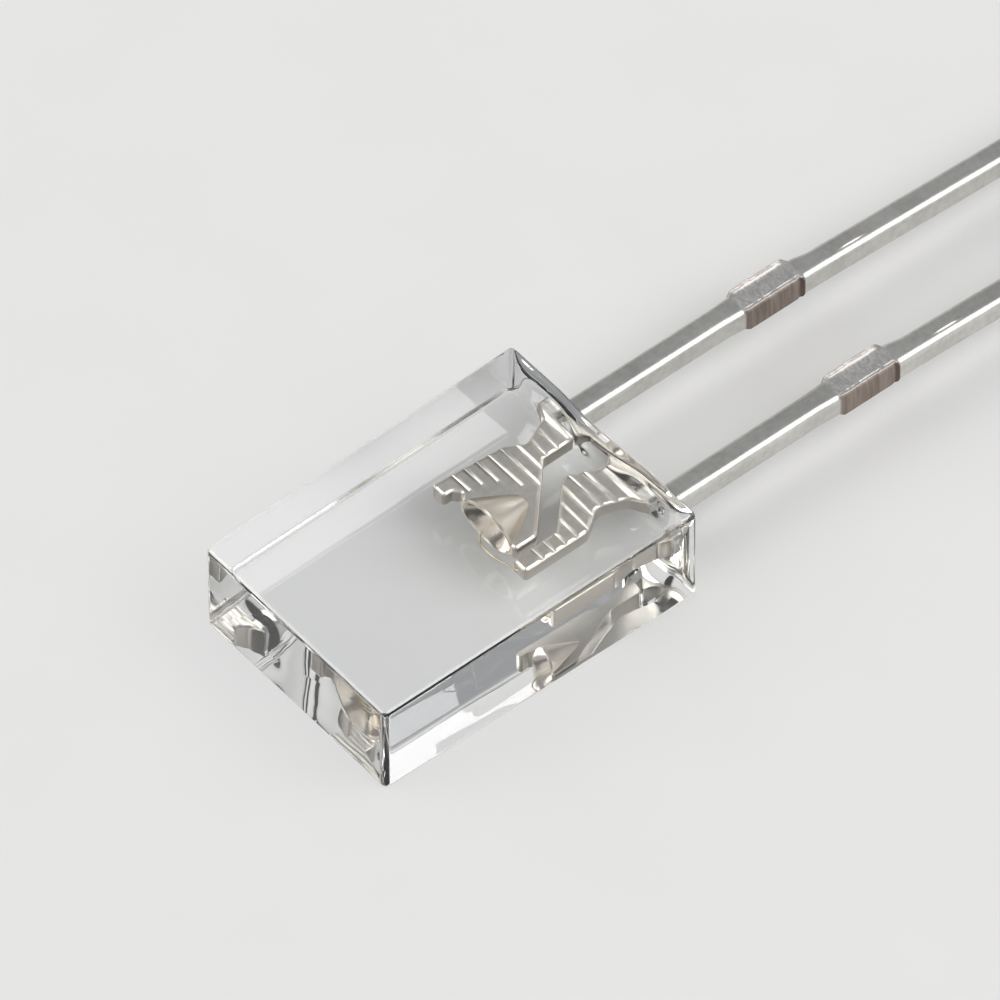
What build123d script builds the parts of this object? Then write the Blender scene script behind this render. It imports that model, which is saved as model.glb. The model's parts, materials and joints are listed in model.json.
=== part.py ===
# Rectangular light-emitting diode, water clear, with two leads.
#
# The body is a block of cast epoxy. Two pieces of one stamped lead frame stand in it: the anvil, whose end
# is coined into a reflector cup, and the post, which takes the bond wire. The chip sits on the cup's floor.
#
# Frame, in millimetres. The part lies on its underside and on the tips of its leads, as on a table.
#   origin  the middle of the body's underside
#   +X      along the leads, away from the end that gives the light
#   +Y      towards the anvil's lead
#   +Z      up

import os

from build123d import *

# Epoxy body: the mould's draft makes it wider and thicker towards its open end
body_length = 6.9
front_width = 4.86
back_width = 5.0
front_height = 2.0
back_height = 2.14
edge_radius = 0.10
front_corner_radius = 0.18

# Resin surface at the open end: a hollow with a thin lip, which climbs a little at each lead
meniscus_depth = 0.18
meniscus_lip = 0.07
meniscus_radius = 0.16
climb_height = 0.12
climb_thickness = 0.03
climb_radius = 0.11

# Leads
lead_pitch = 2.54
lead_size = 0.5
lead_edge_radius = 0.10
lead_height = 1.04
anvil_lead_length = 25.4
post_lead_length = 27.0
bend_radius = 10.0
bend_clearance = 0.2

# Stubs that stay where the dam bar was sheared off
stub_start = 4.15
stub_length = 1.12
stub_width = 0.60
stub_blend = 0.12
burr_height = 0.05
burr_width = 0.08

# Stamped heads of the lead frame. A setback is a distance in from the open end.
root_setback = 0.21
gusset_setback = 0.25
shoulder_setback = 0.42
waist_setback = 0.95
tip_setback = 2.81
coined_edge = 0.055
neck_gap = 0.50
head_gap = 0.13
tip_radius = 0.08
plate_radius = 0.12
waist_radius = 0.15
shoulder_radius = 0.22

# Outline of the anvil
neck_shift = 0.54
neck_width = 0.45
neck_flare = 0.24
plate_setback = 1.30
plate_step = 0.12
spur_width = 0.34
notch_depth = 0.11
notch_radius = 0.03
head_corner_setback = 2.14

# Outline of the post
post_gusset_width = 0.68
post_waist_width = 0.93
post_flare = 0.20
knee_setback = 1.42
arm_setback = 1.82
arm_width = 0.36

# Coined reflector cup, on the body's centre line
cup_setback = 2.63
cup_rim_radius = 0.68
cup_wall = 0.07
cup_depth = 0.40
cup_floor_radius = 0.26
cup_cone_length = 0.78

# Cross grooves coined into both heads, clear of the pad that the cup is struck from
groove_pitch = 0.254
groove_count = 9
first_groove_setback = 0.36
groove_width = 0.05
groove_depth = 0.022
pad_setback = 2.33
pad_radius = 0.75

# Chip, adhesive and wire
chip_size = 0.28
chip_height = 0.15
adhesive_radius = 0.22
adhesive_thickness = 0.02
wire_diameter = 0.03
wire_reach = 0.33
bond_radius = 0.045
bond_thickness = 0.03

# Places that follow from the sizes
open_end = body_length / 2
front_end = -body_length / 2
resin_floor = open_end - meniscus_depth
anvil_y = lead_pitch / 2
post_y = -lead_pitch / 2
lead_half = lead_size / 2
frame_top = lead_height + lead_half
frame_bottom = lead_height - lead_half
cup_x = open_end - cup_setback
tip_x = open_end - tip_setback
cup_axis = Axis((0, 0, lead_height), (1, 0, 0))
neck_inner = anvil_y - lead_half - neck_shift
neck_outer = neck_inner + neck_width
spur_inner = anvil_y - spur_width
crown_y = neck_inner - neck_gap
arm_inner = post_y + arm_width
head_inner = arm_inner + head_gap


def head_outline(corners):
    """Closed outline of a stamped head, from corners given as setback, place across and corner radius."""
    points = [(open_end - setback, across) for setback, across, _ in corners]
    radii = [radius for _, _, radius in corners]
    with BuildLine() as outline:
        FilletPolyline(*points, radius=radii, close=True)
    return outline.line


def lead_rod(across, length):
    """Square lead with rounded edges, its tip bent down to rest where the body rests, and its stub."""
    bend_x = open_end + stub_start + stub_length + bend_clearance
    stub_x = open_end + stub_start
    with BuildPart() as rod:
        with BuildLine() as path:
            FilletPolyline(
                (open_end - root_setback - lead_half, across, lead_height),
                (bend_x, across, lead_height),
                (open_end + length, across, lead_half),
                radius=bend_radius,
            )
        with BuildSketch(Plane(origin=path.line @ 0, x_dir=(0, 1, 0), z_dir=path.line % 0)):
            RectangleRounded(lead_size, lead_size, lead_edge_radius)
        sweep(path=path.line)

        # Stub: a little wider than the lead, with a short slope at both ends
        with BuildSketch(Plane.XY.offset(frame_bottom)):
            with BuildLine():
                Polyline(
                    (stub_x - stub_blend, across - lead_half),
                    (stub_x, across - stub_width / 2),
                    (stub_x + stub_length, across - stub_width / 2),
                    (stub_x + stub_length + stub_blend, across - lead_half),
                    (stub_x + stub_length + stub_blend, across + lead_half),
                    (stub_x + stub_length, across + stub_width / 2),
                    (stub_x, across + stub_width / 2),
                    (stub_x - stub_blend, across + lead_half),
                    close=True,
                )
            make_face()
        extrude(amount=lead_size)

        # Burr that the shear raised along one top edge
        with BuildSketch(Plane.YZ.offset(stub_x)):
            with BuildLine():
                Polyline(
                    (across + stub_width / 2 - burr_width, frame_top),
                    (across + stub_width / 2, frame_top + burr_height),
                    (across + stub_width / 2, frame_top - burr_width),
                    close=True,
                )
            make_face()
        extrude(amount=stub_length)
    return rod.part


# Cutter for the cross grooves: a V for each, with the cup's pad left whole
with BuildPart() as grooves:
    with BuildSketch(Plane.XZ):
        for number in range(groove_count):
            groove_x = open_end - first_groove_setback - number * groove_pitch
            with BuildLine():
                Polyline(
                    (groove_x - groove_width / 2, frame_top),
                    (groove_x, frame_top - groove_depth),
                    (groove_x + groove_width / 2, frame_top),
                    close=True,
                )
            make_face()
    extrude(amount=front_width / 2, both=True)
    with BuildSketch(Plane.XY.offset(frame_top)):
        with Locations((open_end - pad_setback, 0)):
            Circle(pad_radius)
    extrude(amount=-lead_size, mode=Mode.SUBTRACT)


# Anvil: neck, grooved plate with a spur, and the reflector cup coined into its end
anvil_rod = lead_rod(anvil_y, anvil_lead_length)
with BuildPart() as anvil_lead:
    with BuildSketch(Plane.XY.offset(frame_bottom)):
        add(
            head_outline(
                [
                    (root_setback, anvil_y + lead_half, 0),
                    (shoulder_setback, neck_outer + neck_flare, shoulder_radius),
                    (waist_setback, neck_outer, waist_radius),
                    (plate_setback, anvil_y - plate_step, plate_radius),
                    (tip_setback, anvil_y, tip_radius),
                    (tip_setback, spur_inner, tip_radius),
                    (cup_setback, spur_inner, 0),
                    (cup_setback - notch_depth, (spur_inner + cup_rim_radius) / 2, notch_radius),
                    (cup_setback, cup_rim_radius, 0),
                    (cup_setback, head_inner, tip_radius),
                    (head_corner_setback, head_inner, plate_radius),
                    (waist_setback, neck_inner, waist_radius),
                    (gusset_setback, neck_inner, tip_radius),
                    (root_setback, anvil_y - lead_half, 0),
                ]
            )
        )
        make_face()
    extrude(amount=lead_size)
    chamfer(anvil_lead.faces().sort_by(Axis.Z)[-1].edges(), coined_edge)

    # Outer cone of the cup, then its hollow
    with BuildSketch(Plane.XZ):
        with BuildLine():
            Polyline(
                (cup_x, lead_height),
                (cup_x, lead_height + cup_rim_radius),
                (cup_x + cup_cone_length, lead_height + lead_half),
                (cup_x + cup_cone_length, lead_height),
                close=True,
            )
        make_face()
    revolve(axis=cup_axis)
    with BuildSketch(Plane.XZ):
        with BuildLine():
            Polyline(
                (cup_x, lead_height),
                (cup_x, lead_height + cup_rim_radius - cup_wall),
                (cup_x + cup_depth, lead_height + cup_floor_radius),
                (cup_x + cup_depth, lead_height),
                close=True,
            )
        make_face()
    revolve(axis=cup_axis, mode=Mode.SUBTRACT)
    add(grooves.part, mode=Mode.SUBTRACT)
    add(anvil_rod)
anvil_lead.part.label = "anvil_lead"


# Post: a crooked arm that passes beside the cup, whose end takes the wire
post_rod = lead_rod(post_y, post_lead_length)
with BuildPart() as post_lead:
    with BuildSketch(Plane.XY.offset(frame_bottom)):
        add(
            head_outline(
                [
                    (root_setback, post_y + lead_half, 0),
                    (gusset_setback, post_y + lead_half + post_gusset_width, tip_radius),
                    (waist_setback, crown_y, shoulder_radius),
                    (arm_setback, arm_inner, tip_radius),
                    (tip_setback, arm_inner, tip_radius),
                    (tip_setback, post_y, tip_radius),
                    (knee_setback, post_y, shoulder_radius),
                    (waist_setback, crown_y - post_waist_width, shoulder_radius),
                    (shoulder_setback, crown_y - post_waist_width - post_flare, shoulder_radius),
                    (root_setback, post_y - lead_half, 0),
                ]
            )
        )
        make_face()
    extrude(amount=lead_size)
    chamfer(post_lead.faces().sort_by(Axis.Z)[-1].edges(), coined_edge)
    add(grooves.part, mode=Mode.SUBTRACT)
    add(post_rod)
post_lead.part.label = "post_lead"


# Adhesive pad and chip, on the cup's floor
cup_floor_x = cup_x + cup_depth
with BuildPart() as die_attach:
    with BuildSketch(Plane.YZ.offset(cup_floor_x)):
        with Locations((0, lead_height)):
            Circle(adhesive_radius)
    extrude(amount=-adhesive_thickness)
die_attach.part.label = "die_attach"

chip_back = cup_floor_x - adhesive_thickness
with BuildPart() as led_chip:
    with BuildSketch(Plane.YZ.offset(chip_back)):
        with Locations((0, lead_height)):
            Rectangle(chip_size, chip_size)
    extrude(amount=-chip_height)
led_chip.part.label = "led_chip"


# Bond wire: from a ball on the chip, out of the cup and over to the end of the post
chip_face = chip_back - chip_height
foot_y = post_y + arm_width / 2
with BuildPart() as bond_wire:
    with BuildSketch(Plane.YZ.offset(chip_face)):
        with Locations((0, lead_height)):
            Circle(bond_radius)
    extrude(amount=-bond_thickness)
    with BuildSketch(Plane.YZ.offset(tip_x)):
        with Locations((foot_y, lead_height)):
            Circle(bond_radius)
    extrude(amount=-bond_thickness)
    with BuildLine() as loop:
        rise = Line((chip_face - bond_thickness / 2, 0, lead_height), (cup_x, 0, lead_height))
        turn = JernArc(start=rise @ 1, tangent=rise % 1, radius=wire_reach, arc_size=90)
        TangentArc(turn @ 1, (tip_x - bond_thickness / 2, foot_y, lead_height), tangent=turn % 1)
    with BuildSketch(Plane(origin=loop.line @ 0, z_dir=loop.line % 0)):
        Circle(wire_diameter / 2)
    sweep(path=loop.line)
bond_wire.part.label = "bond_wire"


# Epoxy body: drafted block with rounded edges, cast around everything above
with BuildPart() as epoxy_body:
    with BuildSketch():
        with BuildLine():
            Polyline(
                (front_end, front_width / 2),
                (front_end, -front_width / 2),
                (open_end, -back_width / 2),
                (open_end, back_width / 2),
                close=True,
            )
        make_face()
    extrude(amount=back_height)
    with BuildSketch(Plane.XZ):
        with BuildLine():
            Polyline(
                (front_end, 0),
                (open_end, 0),
                (open_end, back_height),
                (front_end, front_height),
                close=True,
            )
        make_face()
    extrude(amount=back_width / 2, both=True, mode=Mode.INTERSECT)
    front_face = epoxy_body.faces().sort_by(Axis.X)[0]
    fillet(front_face.edges().filter_by(Axis.Z), front_corner_radius)
    for level in (0, -1):
        flat_face = epoxy_body.faces().sort_by(Axis.Z)[level]
        fillet(flat_face.edges().sort_by(Axis.X)[:-1], edge_radius)

    # Hollow of the resin surface
    with BuildSketch(Plane.YZ.offset(open_end)):
        with Locations((0, back_height / 2)):
            RectangleRounded(
                back_width - 2 * meniscus_lip,
                back_height - 2 * meniscus_lip,
                meniscus_radius + edge_radius,
            )
    extrude(amount=-meniscus_depth, mode=Mode.SUBTRACT)
    floor_face = epoxy_body.faces().filter_by(Axis.X).sort_by(Axis.X)[-2]
    fillet(floor_face.edges(), meniscus_radius)

    # Resin that climbs the leads
    sleeve_size = lead_size + 2 * climb_thickness
    with BuildSketch(Plane.YZ.offset(resin_floor)):
        with Locations((anvil_y, lead_height), (post_y, lead_height)):
            RectangleRounded(sleeve_size, sleeve_size, lead_edge_radius + climb_thickness)
    extrude(amount=climb_height)
    fillet(epoxy_body.edges(Select.LAST).group_by(Axis.X)[0], climb_radius)

    # Room for what is cast in
    for piece in (anvil_lead, post_lead, die_attach, led_chip, bond_wire):
        add(piece.part, mode=Mode.SUBTRACT)
epoxy_body.part.label = "epoxy_body"


os.makedirs("parts", exist_ok=True)
export_step(epoxy_body.part, "parts/epoxy_body.step")
export_step(anvil_lead.part, "parts/anvil_lead.step")
export_step(post_lead.part, "parts/post_lead.step")
export_step(led_chip.part, "parts/led_chip.step")
export_step(die_attach.part, "parts/die_attach.step")
export_step(bond_wire.part, "parts/bond_wire.step")
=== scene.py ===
# %% [markdown]
# # A rectangular light-emitting diode
#
# The real part is a block of water-clear epoxy, 5 mm wide and 2 mm thick, cast around two pieces of a
# stamped and plated lead frame. This lesson rebuilds what the eye sees: clear resin with its meniscus at the
# open end, grooved metal heads, a coined reflector cup, a chip, a hair-thin wire and two square leads with
# sheared stubs.
#
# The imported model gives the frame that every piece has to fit, so it is loaded first.

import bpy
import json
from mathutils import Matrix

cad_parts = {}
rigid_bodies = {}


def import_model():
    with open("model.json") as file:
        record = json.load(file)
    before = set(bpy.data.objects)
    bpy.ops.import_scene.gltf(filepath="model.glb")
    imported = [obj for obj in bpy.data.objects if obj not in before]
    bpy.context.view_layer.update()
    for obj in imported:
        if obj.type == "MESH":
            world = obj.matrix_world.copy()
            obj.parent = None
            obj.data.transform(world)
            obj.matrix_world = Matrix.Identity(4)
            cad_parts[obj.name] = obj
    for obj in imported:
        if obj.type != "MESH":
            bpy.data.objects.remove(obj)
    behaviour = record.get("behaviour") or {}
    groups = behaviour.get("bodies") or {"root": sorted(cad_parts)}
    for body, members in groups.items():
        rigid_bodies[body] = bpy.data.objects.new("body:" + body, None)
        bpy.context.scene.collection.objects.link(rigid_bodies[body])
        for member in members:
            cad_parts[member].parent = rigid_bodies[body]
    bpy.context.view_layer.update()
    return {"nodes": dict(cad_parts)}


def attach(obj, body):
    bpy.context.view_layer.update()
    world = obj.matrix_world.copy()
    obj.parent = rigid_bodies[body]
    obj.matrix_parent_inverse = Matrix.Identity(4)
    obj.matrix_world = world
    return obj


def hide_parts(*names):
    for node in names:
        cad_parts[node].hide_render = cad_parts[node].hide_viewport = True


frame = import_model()
print("CAD nodes:", sorted(frame["nodes"]))

# %% [markdown]
# ## Units and sizes
#
# The part is measured in millimetres, and Blender's frame here is in metres. All shapes are worked out in
# millimetres and scaled once, when a mesh becomes an object. A setback is a distance in from the open end of
# the body, where the leads come out, because that is how the stamped heads are laid out. Points that are
# closer than the weld distance count as one. The snap distance is twice that, for cuts and the body's skin.

# %% Sizes of the body and the leads
import json
import math

import bmesh
import bpy
from mathutils import Matrix, Vector, noise

MILLIMETRE = 0.001
WELD = 0.0002
SNAP = 2 * WELD

open_end = 3.45
front_end = -3.45
front_half_width = 2.43
back_half_width = 2.5
front_height = 2.0
back_height = 2.14
edge_radius = 0.10
front_corner_radius = 0.14

lead_y = 1.27
lead_half = 0.25
lead_height = 1.04
frame_top = lead_height + lead_half
frame_bottom = lead_height - lead_half
anvil_length = 25.4
post_length = 27.0
print("body length", open_end - front_end, "mm, lead pitch", 2 * lead_y, "mm")

# %% [markdown]
# ## Materials from expressions
#
# A finish is a small sum of masks: where the metal was sheared, where it is scratched, where it is rolled
# smooth. Such sums read best as Python expressions. A thin class wraps a socket of a node, and its operators
# add Math nodes, so that `1 - mask` or `rough + 0.2 * grain` draws the node tree by itself. Every other kind
# of node comes from one method, which takes the node's type, its settings and what goes into its sockets.

# %% Wrap a socket


def operator(operation, swapped=False):
    """A method that adds a Math node for one of Python's operators, or for its reflected form."""

    def method(self, other):
        pair = (other, self) if swapped else (self, other)
        return self.finish.maths(operation, *pair)

    return method


class Value:
    """What comes out of a socket in a finish. Operators on it add Math nodes."""

    def __init__(self, finish, socket):
        self.finish = finish
        self.socket = socket

    __add__ = operator("ADD")
    __radd__ = operator("ADD", swapped=True)
    __sub__ = operator("SUBTRACT")
    __rsub__ = operator("SUBTRACT", swapped=True)
    __mul__ = operator("MULTIPLY")
    __rmul__ = operator("MULTIPLY", swapped=True)
    __lt__ = operator("LESS_THAN")

    def __abs__(self):
        return self.finish.maths("ABSOLUTE", self)

    def larger(self, other):
        return self.finish.maths("MAXIMUM", self, other)

    def between(self, low, high):
        """0 below low, 1 above high and smooth in between."""
        settings = {"interpolation_type": "SMOOTHSTEP"}
        sockets = {"Value": self, "From Min": low, "From Max": high}
        return self.finish.node("ShaderNodeMapRange", settings, sockets)["Result"]


# %% A finish and its one method for nodes


class Outputs:
    """The outputs of a node, by name or number, as values."""

    def __init__(self, finish, node):
        self.finish = finish
        self.sockets = node.outputs

    def __getitem__(self, key):
        return Value(self.finish, self.sockets[key])


class Finish:
    """A node-based material that is built up from expressions. The surroundings are mixed in the same way."""

    def __init__(self, name, kept_in=bpy.data.materials, shader="Principled BSDF"):
        self.material = kept_in.new(name)
        self.material.use_nodes = True
        self.tree = self.material.node_tree
        self.shader = self.tree.nodes[shader]

    def node(self, kind, settings=(), sockets=()):
        """A node of this kind. Its settings are set first, then its sockets get their values or links."""
        made = self.tree.nodes.new(kind)
        for name, setting in dict(settings).items():
            setattr(made, name, setting)
        for key, value in dict(sockets).items():
            self.feed(made.inputs[key], value)
        return Outputs(self, made)

    def feed(self, socket, value):
        """Links a value to a socket, or sets the socket to a number, a vector or an opaque colour."""
        if isinstance(value, Value):
            self.tree.links.new(value.socket, socket)
        elif socket.type == "RGBA":
            socket.default_value = (*value, 1.0)
        else:
            socket.default_value = value

    def maths(self, operation, *values):
        return self.node("ShaderNodeMath", {"operation": operation}, dict(enumerate(values)))["Value"]

    def set(self, **values):
        """Feeds the shader's sockets, with an underscore for each space in a socket's name."""
        for name, value in values.items():
            self.feed(self.shader.inputs[name.replace("_", " ")], value)

    def place(self):
        """The point of the part that is being shaded, in millimetres."""
        point = self.node("ShaderNodeTexCoord")["Object"]
        sockets = {0: point, "Scale": 1 / MILLIMETRE}
        return self.node("ShaderNodeVectorMath", {"operation": "SCALE"}, sockets)["Vector"]

    def parts(self, vector):
        """The three coordinates of a vector."""
        split = self.node("ShaderNodeSeparateXYZ", (), {"Vector": vector})
        return split["X"], split["Y"], split["Z"]

    def stretch(self, vector, scales):
        """A vector with its coordinates scaled apart, which draws a texture out into streaks."""
        return self.node("ShaderNodeVectorMath", {"operation": "MULTIPLY"}, {0: vector, 1: scales})["Vector"]

    def grain(self, vector, scale, detail=3.0, distortion=0.0):
        """Cloudy noise between 0 and 1."""
        sockets = {"Vector": vector, "Scale": scale, "Detail": detail, "Distortion": distortion}
        return self.node("ShaderNodeTexNoise", (), sockets)["Fac"]

    def blend(self, mask, below, above):
        """The colour below where the mask is 0, and the colour above where it is 1."""
        sockets = {0: mask, 6: below, 7: above}
        return self.node("ShaderNodeMix", {"data_type": "RGBA"}, sockets)[2]

    def from_long_axis(self, across, up):
        """Distance from the line that runs along the body at the leads' height, through the cup's middle."""
        offset = up - lead_height
        return self.maths("SQRT", across * across + offset * offset)

    def relief(self, height):
        """Feeds a height in millimetres to the shader's normal."""
        sockets = {"Height": height, "Strength": 1.0, "Distance": MILLIMETRE}
        self.set(Normal=self.node("ShaderNodeBump", (), sockets)["Normal"])

    def let_light_pass(self, tint):
        """Lets rays that look for a lamp pass straight through, with a tint at each skin that they cross."""
        rays = self.node("ShaderNodeLightPath")
        starts_inside = self.maths("MODULO", rays["Transmission Depth"], 2.0)
        passing = (rays["Is Shadow Ray"] * (1 - starts_inside)).larger(rays["Is Diffuse Ray"])
        clear = self.node("ShaderNodeBsdfTransparent", (), {"Color": tint})["BSDF"]
        glass = Value(self, self.shader.outputs["BSDF"])
        mixed = self.node("ShaderNodeMixShader", (), {0: passing, 1: glass, 2: clear})["Shader"]
        self.feed(self.tree.nodes["Material Output"].inputs["Surface"], mixed)


print("finishes are ready to be mixed")

# %% [markdown]
# ## Water-clear epoxy
#
# Cast epoxy bends light much as window glass does, with a refractive index of about 1.53. It takes the
# polish of its steel mould, so a physically based glass fits, with nearly no roughness. A perfect glass
# looks like a drawing, though. Real resin carries faint flow waves and a few hairlines from handling. The
# waves are about a micrometre high, and they go into the normal as a true height.
#
# A clear block also throws nearly all of the light on to the table below it. A path tracer finds such light
# only by luck, so the rays that look for a lamp go straight through the skin here, and lose nine percent at
# each crossing. Metal inside the resin keeps its true, bent light. A ray that starts inside has crossed the
# skin an odd number of times, which tells the two apart.

# %% Clear epoxy
epoxy = Finish("clear_epoxy")
spot = epoxy.place()
flow = epoxy.grain(epoxy.stretch(spot, (0.5, 1.6, 1.6)), 0.9, detail=1.0)
hairline = epoxy.grain(epoxy.stretch(spot, (0.9, 9.0, 3.0)), 1.3, detail=5.0, distortion=0.6)
scratches = (hairline - 0.62).between(0.0, 0.05)
epoxy.set(Base_Color=(0.985, 0.99, 0.985), IOR=1.53, Transmission_Weight=1.0)
epoxy.set(Roughness=0.004 + 0.05 * scratches)
epoxy.relief(0.003 * flow)
epoxy.let_light_pass((0.91, 0.915, 0.915))
print("epoxy:", len(epoxy.tree.nodes), "nodes")

# %% [markdown]
# ## Plated steel with sheared stubs
#
# The lead frame is one stamped steel strip, plated bright all over. After casting, a press shears off the
# bar that joined the leads. It leaves stubs whose sides show bare brownish metal with streaks in the
# direction of the cut, and whose tops are scuffed. Inside the resin the plating is a lighter and warmer
# silver, and the reflector cup is struck with a polished punch. The heads' steep sides inside the resin
# carry painted shade: a darker colour that stands in for dark surroundings mirrored in them. The cup's
# tilted faces carry a painted highlight tint, cream like warm lamp reflections. One metal finish can hold
# all of this, with masks from the place along the lead and from the direction that a surface faces.

# %% Masks on the metal
stub_x = open_end + 4.15
stub_length = 1.12
stub_end = stub_x + stub_length

steel = Finish("plated_steel")
spot = steel.place()
along, across, up = steel.parts(spot)
facing_x, facing_y, facing_z = steel.parts(steel.node("ShaderNodeNewGeometry")["Normal"])

on_stub = along.between(stub_x - 0.13, stub_x - 0.07) - along.between(stub_end + 0.07, stub_end + 0.10)
sideways = abs(facing_y).between(0.35, 0.65)
upwards = facing_z.between(0.75, 0.92)
on_burr = on_stub * up.between(frame_top + 0.004, frame_top + 0.016)
sheared = on_stub * sideways
scuffed = on_stub * upwards
print("masks on the metal:", len(steel.tree.nodes), "nodes")

# %% Grain of the metal
rolled = steel.grain(steel.stretch(spot, (0.35, 14.0, 14.0)), 1.4, detail=4.0)
clouds = steel.grain(spot, 1.1, detail=4.0)
specks = steel.grain(spot, 8.0, detail=3.0)
streaks = steel.grain(steel.stretch(spot, (13.0, 3.0, 1.2)), 1.0, detail=4.0)
scuffs = steel.grain(steel.stretch(spot, (9.0, 3.5, 3.5)), 1.7, detail=6.0, distortion=1.2)
print("with its grain:", len(steel.tree.nodes), "nodes")

# %% Colours and roughness of the metal
cup_tip = 1.75
hollow_tip = 1.3
patchy = (0.5 * clouds + 0.5 * specks).between(0.36, 0.64)
plate_colour = steel.blend(patchy, (0.60, 0.59, 0.555), (0.71, 0.70, 0.665))
silver_colour = steel.blend(patchy, (0.81, 0.775, 0.705), (0.93, 0.89, 0.80))
in_resin = 1 - along.between(open_end - 0.30, open_end - 0.10)
plate_colour = steel.blend(in_resin, plate_colour, silver_colour)
from_axis = steel.from_long_axis(across, up)
on_cup = (along < cup_tip) * (from_axis < 0.70)
# Painted shade: the heads' steep sides inside the resin are coloured darker, standing in for dark
# surroundings mirrored in them.
painted_dark_side = in_resin * (1 - on_cup) * (1 - abs(facing_z).between(0.2, 0.6))
plate_colour = steel.blend(painted_dark_side, plate_colour, (0.56, 0.52, 0.465))
# Painted highlight tint: the cup's tilted faces are coloured cream, standing in for warm lamp reflections.
painted_warm_tilt = on_cup * (1 - facing_z.between(0.955, 0.985))
plate_colour = steel.blend(painted_warm_tilt, plate_colour, (0.84, 0.77, 0.68))
bare_colour = steel.blend(streaks.between(0.3, 0.7), (0.25, 0.205, 0.175), (0.37, 0.315, 0.28))
stub_heel = along.between(stub_end - 0.03, stub_end + 0.03)
bare_colour = steel.blend(stub_heel, bare_colour, (0.17, 0.13, 0.11))
scuff_colour = steel.blend(scuffs.between(0.3, 0.7), (0.46, 0.45, 0.43), (0.66, 0.65, 0.63))
colour = steel.blend(scuffed, plate_colour, scuff_colour)
colour = steel.blend(sheared, colour, bare_colour)
steel.set(Base_Color=steel.blend(on_burr, colour, (0.72, 0.68, 0.65)), Metallic=1.0)
in_cup = (1 - from_axis.between(0.62, 0.66)) * facing_x.between(-0.2, -0.4) * (along < hollow_tip)
uneven = 0.10 * rolled + 0.10 * clouds * (1 - in_resin)
rough = 0.27 + uneven + 0.15 * scuffed + 0.20 * sheared - 0.08 * in_cup
steel.set(Roughness=rough + 0.05 * on_burr)
steel.relief(0.0014 * rolled + 0.0016 * specks + 0.0035 * scuffed * scuffs + 0.005 * sheared * streaks)
print("plated steel:", len(steel.tree.nodes), "nodes")

# %% [markdown]
# ## Chip, adhesive and gold
#
# These three are no bigger than grains of sand, but they are what the part is for. The chip is a sawn
# crystal with a round gold pad. It sits in adhesive that is full of silver flakes, and the wire is drawn
# gold.

# %% Crystal with a gold pad
chip_size = 0.28
chip_face = 1.05
chip_back = 1.20
pad_radius = 0.055

crystal = Finish("sawn_crystal")
along, across, up = crystal.parts(crystal.place())
from_axis = crystal.from_long_axis(across, up)
pad = (1 - from_axis.between(pad_radius - 0.004, pad_radius)) * (along < chip_face + 0.003)
saw_marks = crystal.grain(crystal.stretch(crystal.place(), (2.0, 2.0, 60.0)), 1.0)
crystal_colour = crystal.blend(saw_marks, (0.36, 0.29, 0.10), (0.52, 0.44, 0.18))
crystal.set(Base_Color=crystal.blend(pad, crystal_colour, (0.95, 0.72, 0.33)))
crystal.set(Metallic=0.15 + 0.85 * pad, Roughness=0.30 + 0.15 * saw_marks - 0.12 * pad)
crystal.relief(0.001 * saw_marks)
print("crystal:", len(crystal.tree.nodes), "nodes")

# %% Silver adhesive and drawn gold
adhesive = Finish("silver_adhesive")
flakes = adhesive.grain(adhesive.place(), 45.0, detail=4.0)
adhesive.set(Base_Color=adhesive.blend(flakes, (0.52, 0.51, 0.48), (0.86, 0.85, 0.82)))
adhesive.set(Metallic=0.8, Roughness=0.55 - 0.15 * flakes)
adhesive.relief(0.004 * flakes)

gold = Finish("drawn_gold")
die_lines = gold.grain(gold.stretch(gold.place(), (6.0, 6.0, 60.0)), 1.5)
gold.set(Base_Color=gold.blend(die_lines, (0.84, 0.70, 0.46), (0.93, 0.82, 0.62)))
gold.set(Metallic=1.0, Roughness=0.16 + 0.12 * die_lines)
gold.relief(0.0004 * die_lines)
print("adhesive:", len(adhesive.tree.nodes), "nodes, gold:", len(gold.tree.nodes), "nodes")

# %% [markdown]
# ## From points to pieces
#
# Most of the part is a skin over rings of points: a lead is a run of square sections, the body is a run of
# rounded rectangles, and the cup is turned about an axis. One helper that bridges rings therefore does
# nearly all of the modelling. A second one scales a finished mesh to metres, and a third dresses it as a
# piece: it gives it its finish and hides the CAD node that it stands for. A Boolean can leave two points
# almost on one place, so they are welded after each one, and the pieces stay closed.

# %% Skin rings


def skin(rings, close_start=True, close_end=True):
    """A mesh over rings that have the same number of points, with its ends closed by flat faces."""
    mesh = bmesh.new()
    loops = [[mesh.verts.new(point) for point in ring] for ring in rings]
    for near, far in zip(loops, loops[1:]):
        for number in range(len(near)):
            before = number - 1
            mesh.faces.new((near[before], near[number], far[number], far[before]))
    if close_start:
        mesh.faces.new(loops[0])
    if close_end:
        mesh.faces.new(reversed(loops[-1]))
    bmesh.ops.recalc_face_normals(mesh, faces=mesh.faces)
    return mesh


# %% Make a piece


def in_scene(name, data):
    """A new object in the scene that holds a mesh, a curve, a lamp or a camera."""
    made = bpy.data.objects.new(name, data)
    bpy.context.collection.objects.link(made)
    return made


def object_of(name, mesh):
    """An object from a mesh in millimetres, which is used up."""
    bmesh.ops.scale(mesh, vec=(MILLIMETRE,) * 3, verts=mesh.verts)
    data = bpy.data.meshes.new(name)
    mesh.to_mesh(data)
    mesh.free()
    return in_scene(name, data)


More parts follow.
